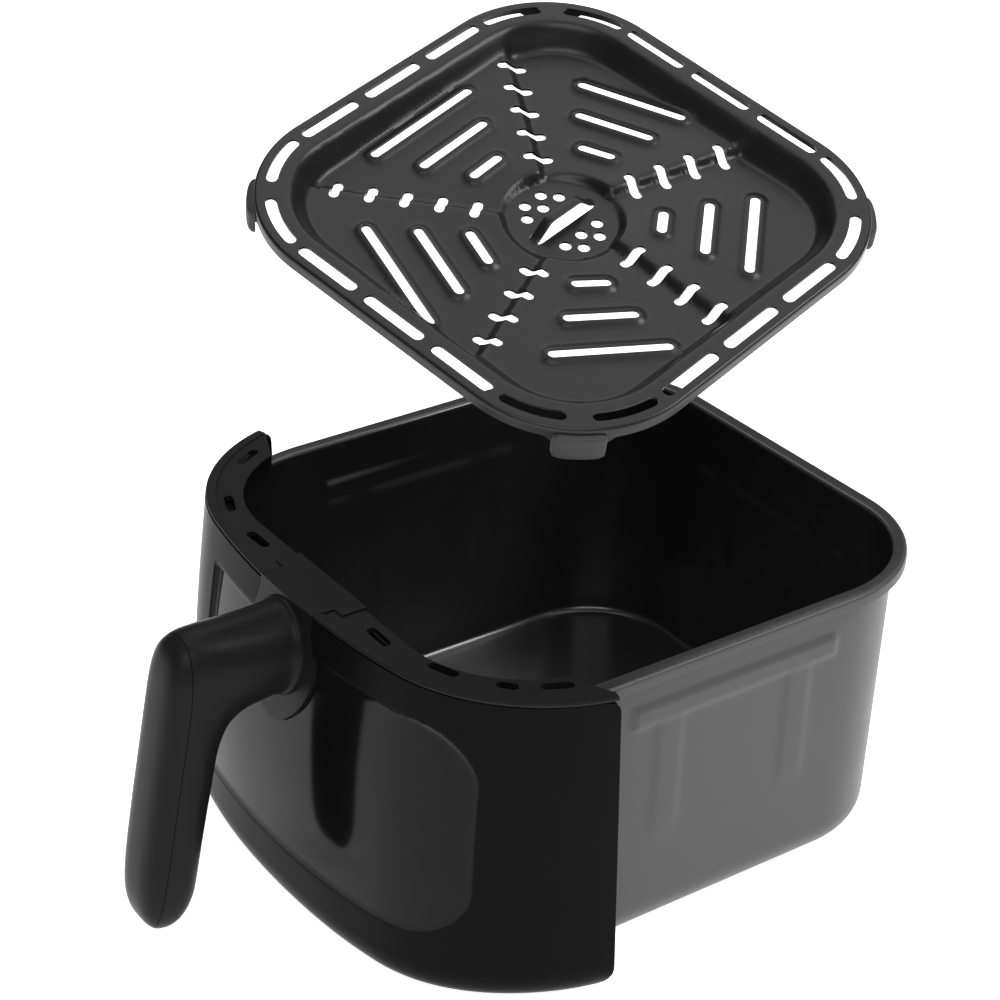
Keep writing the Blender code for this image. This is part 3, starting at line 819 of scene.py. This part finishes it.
def spoke_slots():
    slots = []
    for spoke in range(5):
        turn = math.radians(72 * spoke)
        for step in range(5 if spoke in (2, 3) else 4):
            reach = 34.3 + 14.05 * step
            x = reach * math.cos(turn) - 3.2 * math.sin(turn)
            y = reach * math.sin(turn) + 3.2 * math.cos(turn)
            slots.append((x, y, turn + math.radians(86), 12.5, 4.0))
    return slots


def curved_slot(quarter, start, end, reach=47.5, width=4.6):
    """A slot with round ends that follows a corner of the plate, from one angle to another."""
    middle = Vector((48.2, 48.2))
    turn = Matrix.Rotation(quarter * math.pi / 2, 2)
    first, last = math.radians(start), math.radians(end)
    steps = 9
    points = []

    def add_side(begin, finish, radius):
        for step in range(steps + 1):
            angle = begin + (finish - begin) * step / steps
            points.append(middle + Vector((math.cos(angle), math.sin(angle))) * radius)

    def add_end(angle, begin):
        centre = middle + Vector((math.cos(angle), math.sin(angle))) * reach
        for step in range(1, 5):
            bend = begin + math.pi * step / 5
            points.append(centre + Vector((math.cos(bend), math.sin(bend))) * width / 2)

    add_side(first, last, reach + width / 2)
    add_end(last, last)
    add_side(last, first, reach - width / 2)
    add_end(first, first + math.pi)
    return [turn @ p for p in points]


def plate_holes():
    """Every opening in the plate as a loop of points."""
    loops = []
    line = PLATE_HALF - 6.45
    for quarter in range(4):
        turn = quarter * math.pi / 2
        for along in (-35.4, 0, 35.4):
            x = line * math.cos(turn) - along * math.sin(turn)
            y = line * math.sin(turn) + along * math.cos(turn)
            loops.append(slot_loop(x, y, turn + math.pi / 2, 30, 5.0, straight=10))
        loops.append(curved_slot(quarter, 10, 36.7))
        loops.append(curved_slot(quarter, 53.3, 80))
    for x, y, angle, length, width in sector_slots():
        loops.append(slot_loop(x, y, angle, length, width, straight=max(int(length / 2.5), 3)))
    for x, y, angle, length, width in spoke_slots():
        loops.append(slot_loop(x, y, angle, length, width, straight=4))
    for side in (-1, 1):
        for x, y in ((10.3, 9.4), (10.3, 0), (10.3, -9.4), (15.9, 4.7), (15.9, -4.7)):
            loops.append(slot_loop(side * x, y, 0, 5.001, 5.0, straight=1))
    loops.append(slot_loop(0, -0.2, math.pi / 2, 35.5, 6.0, straight=12))
    return loops


RIDGES = sector_slots()


def ridge(x, y):
    """The rounded ridge that each long slot is cut through."""
    best = 0.0
    for cx, cy, angle, length, width in RIDGES:
        dx, dy = x - cx, y - cy
        if dx * dx + dy * dy > 1400:
            continue
        along = abs(dx * math.cos(angle) + dy * math.sin(angle)) - (length - width) / 2
        across = abs(dy * math.cos(angle) - dx * math.sin(angle))
        gap = math.hypot(max(along, 0), across) - width / 2
        if gap < RIDGE_REACH:
            best = max(best, 0.5 + 0.5 * math.cos(math.pi * max(gap, 0) / RIDGE_REACH))
    return best * RIDGE_RISE


def dish_floor(x, y):
    """Five sectors, each a ramp that falls anticlockwise, with a step up at each spoke."""
    reach = math.hypot(x, y)
    if reach < 1:
        return HUB_DEPTH
    sector = math.radians(72)
    shift = math.asin(min(SPOKE_SHIFT / reach, 1))
    around = (math.atan2(y, x) - shift) % sector
    fall = DISH_HIGH + (DISH_LOW - DISH_HIGH) * around / sector
    from_low = reach * math.sin(around)
    from_high = reach * math.sin(sector - around)
    half = SPOKE_RUN / 2
    if around < sector / 2 and from_low < half:
        fall = DISH_LOW + (fall - DISH_LOW) * smooth(-half, half, from_low)
    elif around > sector / 2 and from_high < half:
        fall = fall + (DISH_HIGH - fall) * (1 - smooth(-half, half, from_high))
    fall += ridge(x, y)
    return HUB_DEPTH + (fall - HUB_DEPTH) * smooth(HUB_INNER, HUB_OUTER, reach)


def plate_height(x, y):
    inset = plate_inset(x, y)
    if inset <= FLANGE_INSET:
        return 0.0
    return dish_floor(x, y) * smooth(FLANGE_INSET, DISH_INSET, inset)


class Spacing:
    """Keeps points no closer together than a gap."""

    def __init__(self):
        self.cells = {}
        self.points = []

    def add(self, point, gap):
        cx, cy = int(math.floor(point.x / 2)), int(math.floor(point.y / 2))
        for i in (cx - 1, cx, cx + 1):
            for j in (cy - 1, cy, cy + 1):
                for other in self.cells.get((i, j), ()):
                    if (other - point).length < gap:
                        return False
        self.cells.setdefault((cx, cy), []).append(point)
        self.points.append(point)
        return True


def inside(point, loop):
    hit = False
    for a, b in zip(loop, loop[1:] + loop[:1]):
        if (a.y > point.y) != (b.y > point.y):
            if point.x < a.x + (point.y - a.y) * (b.x - a.x) / (b.y - a.y):
                hit = not hit
    return hit


def plate_triangles():
    """The plate's plan as triangles, with every opening left out."""
    edge = [spot for spot, out in plate_ring(PLATE_EDGE, 2.0)]
    holes = plate_holes()
    boxes = []
    for loop in holes:
        xs, ys = [p.x for p in loop], [p.y for p in loop]
        boxes.append((min(xs), max(xs), min(ys), max(ys)))

    def in_hole(point, grow):
        for loop, (x0, x1, y0, y1) in zip(holes, boxes):
            if x0 - grow < point.x < x1 + grow and y0 - grow < point.y < y1 + grow:
                if inside(point, loop):
                    return True
        return False

    spread_out = Spacing()
    edges = []
    for loop in [edge] + holes:
        first = len(spread_out.points)
        for point in loop:
            spread_out.add(point, 0.0)
        last = len(spread_out.points)
        edges += [(i, i + 1 if i + 1 < last else first) for i in range(first, last)]
    wanted = []
    for loop in holes:
        middle = sum(loop, Vector((0, 0))) / len(loop)
        for grow in (0.9, 2.1, 3.3, 4.5):
            for a, b, c in zip(loop[-1:] + loop[:-1], loop, loop[1:] + loop[:1]):
                tangent = (c - a).normalized()
                out = Vector((tangent.y, -tangent.x))
                if out.dot(b - middle) < 0 and len(loop) < 16:
                    out = -out
                wanted.append((b + out * grow, 0.75))
    for inset in (2.4, 12.4, 13.2, 14.4, 15.7, 17, 18.3, 19.6, 20.8, 22, 23.3):
        wanted += [(spot, 0.8) for spot, out in plate_ring(inset, 2.2)]
    for spoke in range(5):
        turn = Matrix.Rotation(math.radians(72 * spoke), 2)
        for sideways in (-2.2, -1.3, -0.4, 0.4, 1.3, 2.2):
            for step in range(36):
                wanted.append((turn @ Vector((22 + 2 * step, SPOKE_SHIFT + sideways)), 0.7))
    for reach in (21, 22, 23, 24, 25, 26, 27.2):
        count = int(2 * math.pi * reach / 2)
        for step in range(count):
            angle = 2 * math.pi * step / count
            wanted.append((Vector((reach * math.cos(angle), reach * math.sin(angle))), 0.8))
    steps = int(PLATE_HALF / 2.1)
    for i in range(-steps, steps + 1):
        for j in range(-steps, steps + 1):
            wanted.append((Vector((2.1 * i + (j % 2) * 1.05, 2.1 * j * 0.9)), 1.3))
    for point, gap in wanted:
        if plate_inset(point.x, point.y) > PLATE_EDGE + 0.7 and not in_hole(point, 0.5):
            spread_out.add(point, gap)
    verts, _, faces, *_ = delaunay_2d_cdt(spread_out.points, edges, [], 0, 1e-7)
    kept = []
    for face in faces:
        centre = (verts[face[0]] + verts[face[1]] + verts[face[2]]) / 3
        if plate_inset(centre.x, centre.y) > PLATE_EDGE - 0.02 and not in_hole(centre, 0):
            kept.append(face)
    return verts, kept, len(edge)


def add_strap(work):
    """The lanced strap that arches along the middle of the pull slot."""
    rows = []
    steps = 26
    for step in range(steps + 1):
        share = step / steps
        y = -18.5 + 36.6 * share
        rise = 7.2 * smooth(0, 0.3, min(share, 1 - share)) - 0.25
        row = []
        for x in (-2.1, -1.2, 0, 1.2, 2.1):
            crown = 0.35 * (1 - (x / 2.1) ** 2)
            row.append(work.verts.new((x, y, HUB_DEPTH + rise + crown)))
        rows.append(row)
    for low, high in zip(rows, rows[1:]):
        for i in range(4):
            work.faces.new((low[i], low[i + 1], high[i + 1], high[i]))


def make_plate(pose):
    verts, faces, edge_count = plate_triangles()
    work = bmesh.new()
    made = [work.verts.new((v.x, v.y, plate_height(v.x, v.y))) for v in verts]
    for face in faces:
        corners = [made[i] for i in face]
        a, b, c = (verts[i] for i in face)
        if (b - a).cross(c - a) < 0:
            corners.reverse()
        work.faces.new(corners)
    rows = [made[:edge_count]]
    ring = plate_ring(PLATE_EDGE, 2.0)
    drops = [(0.8, 0.02), (0.3, 0.08), (0, 0.18), (0, 0.4), (0, 0.7), (0, 1)]
    for inset, share in drops:
        row = []
        for spot, out in ring:
            off_diagonal = abs(abs(out.x) - abs(out.y))
            tab = 1 - smooth(0.22, 0.36, off_diagonal)
            depth = SKIRT_DEPTH + (TAB_DEPTH - SKIRT_DEPTH) * tab * smooth(0.1, 0.9, share)
            moved = spot + out * (PLATE_EDGE - inset)
            row.append(work.verts.new((moved.x, moved.y, -depth * share)))
        rows.append(row)
    for high, low in zip(rows, rows[1:]):
        for i in range(edge_count):
            j = (i + 1) % edge_count
            work.faces.new((high[i], low[i], low[j], high[j]))
    add_strap(work)
    loose = [v for v in work.verts if not v.link_faces]
    bmesh.ops.delete(work, geom=loose, context="VERTS")
    bmesh.ops.transform(work, matrix=pose, verts=work.verts)
    item = finish_object("crisper_sheet", work, [PLATE_LOOK])
    shell = item.modifiers.new("sheet", "SOLIDIFY")
    shell.thickness = PLATE_SHEET * MM
    shell.offset = -1
    settle(item, 42)
    place(item, "crisper", ["crisper_plate"], "plate_coating")


def make_bumper(name, node, quarter, pose):
    """A soft pad, a rounded block moulded round a corner of the skirt."""
    work = bmesh.new()
    wide, tall, proud = 11.0, 5.8, 3.0
    radius = PLATE_CORNER
    middle = Vector((PLATE_HALF - PLATE_CORNER,) * 2)
    rows = []
    steps, columns = 16, 28
    for step in range(steps + 1):
        v = 2 * step / steps - 1
        row = []
        for column in range(columns + 1):
            u = 2 * column / columns - 1
            squeeze = (1 - abs(v) ** 4.5) ** 0.22 if abs(v) < 1 else 0.0
            lift = (max(1 - abs(u) ** 5, 0) ** 0.4) * (max(1 - abs(v) ** 5, 0) ** 0.4)
            along = wide * u * (0.72 + 0.28 * squeeze)
            angle = math.radians(45) + along / (radius + proud)
            reach = radius + 0.1 + proud * lift
            spot = middle + Vector((math.cos(angle), math.sin(angle))) * reach
            row.append(work.verts.new((spot.x, spot.y, -8.6 + tall * v)))
        rows.append(row)
    back = []
    for row in rows:
        line = []
        for vert in row:
            spot = Vector(vert.co.xy) - middle
            spot = middle + spot.normalized() * (radius + 0.08)
            line.append(work.verts.new((spot.x, spot.y, vert.co.z)))
        back.append(line)
    close_shell(work, rows, back)
    bmesh.ops.rotate(work, verts=work.verts, matrix=Matrix.Rotation(quarter * math.pi / 2, 3, "Z"))
    bmesh.ops.recalc_face_normals(work, faces=work.faces)
    bmesh.ops.transform(work, matrix=pose, verts=work.verts)
    item = finish_object(name, work, [SILICONE])
    settle(item, 60)
    place(item, "crisper", [node], "silicone")


def plate_pose():
    turn = Euler([math.radians(a) for a in PLATE_TURN], "XYZ").to_matrix().to_4x4()
    lift = Matrix.Translation((0, 0, PLATE_LIFT * MM))
    return lift @ turn @ Matrix.Scale(MM, 4)


# ---------------------------------------------------------------- hidden CAD nodes


def dress_hidden_nodes():
    """The pieces behind the fascia keep their CAD shape and take a proper material."""
    looks = {"inner_liner": LINER_LOOK, "pan_bracket": STEEL, "handle_core": STEEL, "handle_bolt": STEEL}
    for name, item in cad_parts.items():
        if "screw" in name:
            looks[name] = STEEL
        if name in looks:
            item.data.materials.clear()
            item.data.materials.append(looks[name])


# ---------------------------------------------------------------- studio


def area_light(name, spot, target, size, power, tall=None):
    data = bpy.data.lights.new(name, "AREA")
    data.shape = "RECTANGLE"
    data.size = size
    data.size_y = tall or size
    data.energy = power
    lamp = bpy.data.objects.new(name, data)
    lamp.location = spot
    lamp.rotation_euler = (Vector(target) - Vector(spot)).to_track_quat("-Z", "Y").to_euler()
    bpy.context.scene.collection.objects.link(lamp)


def make_studio():
    world = bpy.data.worlds.new("studio")
    world.use_nodes = True
    world.node_tree.nodes["Background"].inputs["Color"].default_value = (1, 1, 1, 1)
    world.node_tree.nodes["Background"].inputs["Strength"].default_value = 0.2
    bpy.context.scene.world = world
    bpy.context.scene.view_settings.view_transform = "Standard"
    work = bmesh.new()
    bmesh.ops.create_grid(work, x_segments=8, y_segments=8, size=4.0)
    floor = finish_object("studio_floor", work, [])
    look = bpy.data.materials.new("studio_floor")
    look.use_nodes = True
    shader = look.node_tree.nodes["Principled BSDF"]
    shader.inputs["Base Color"].default_value = (0.9, 0.9, 0.9, 1)
    shader.inputs["Roughness"].default_value = 0.9
    shader.inputs["Emission Color"].default_value = (1, 1, 1, 1)
    shader.inputs["Emission Strength"].default_value = 0.9
    floor.data.materials.append(look)
    floor.location.z = -0.3 * MM
    area_light("overhead", (-0.5, 0.6, 2.2), (0, 0, 0.1), 2.6, 30)
    area_light("front_right", (1.0, -0.75, 1.5), (0, 0, 0.15), 1.2, 15)
    area_light("back_right", (0.9, 0.95, 1.45), (0, -0.05, 0.1), 0.7, 18)


def make_camera():
    """A long lens above the right of the handle."""
    data = bpy.data.cameras.new("camera")
    data.sensor_width = 36
    data.lens = 91.4
    data.clip_start = 0.01
    camera = bpy.data.objects.new("camera", data)
    azimuth, elevation = math.radians(56.08), math.radians(28.59)
    back = Vector((
        math.sin(azimuth) * math.cos(elevation),
        -math.cos(azimuth) * math.cos(elevation),
        math.sin(elevation),
    ))
    right = Vector((math.cos(azimuth), math.sin(azimuth), 0))
    up = back.cross(right)
    camera.location = (back * 1132.4 - right * 25.6 + up * 125.34) * MM
    camera.rotation_euler = (-back).to_track_quat("-Z", "Y").to_euler()
    bpy.context.scene.collection.objects.link(camera)
    bpy.context.scene.camera = camera


def main():
    make_camera()
    make_studio()
    make_pan()
    make_fascia()
    make_trim("bezel_left", "top_trim_left", -1)
    make_trim("bezel_right", "top_trim_right", 1)
    make_mount_cover()
    make_handle("handle_inner_half", "handle_body", -1)
    make_handle("handle_outer_half", "grip_cover", 1)
    pose = plate_pose()
    make_plate(pose)
    for quarter, place_name in enumerate(("rear_right", "rear_left", "front_left", "front_right")):
        make_bumper("bumper_pad_" + place_name, "bumper_" + place_name, quarter, pose)
    dress_hidden_nodes()


main()
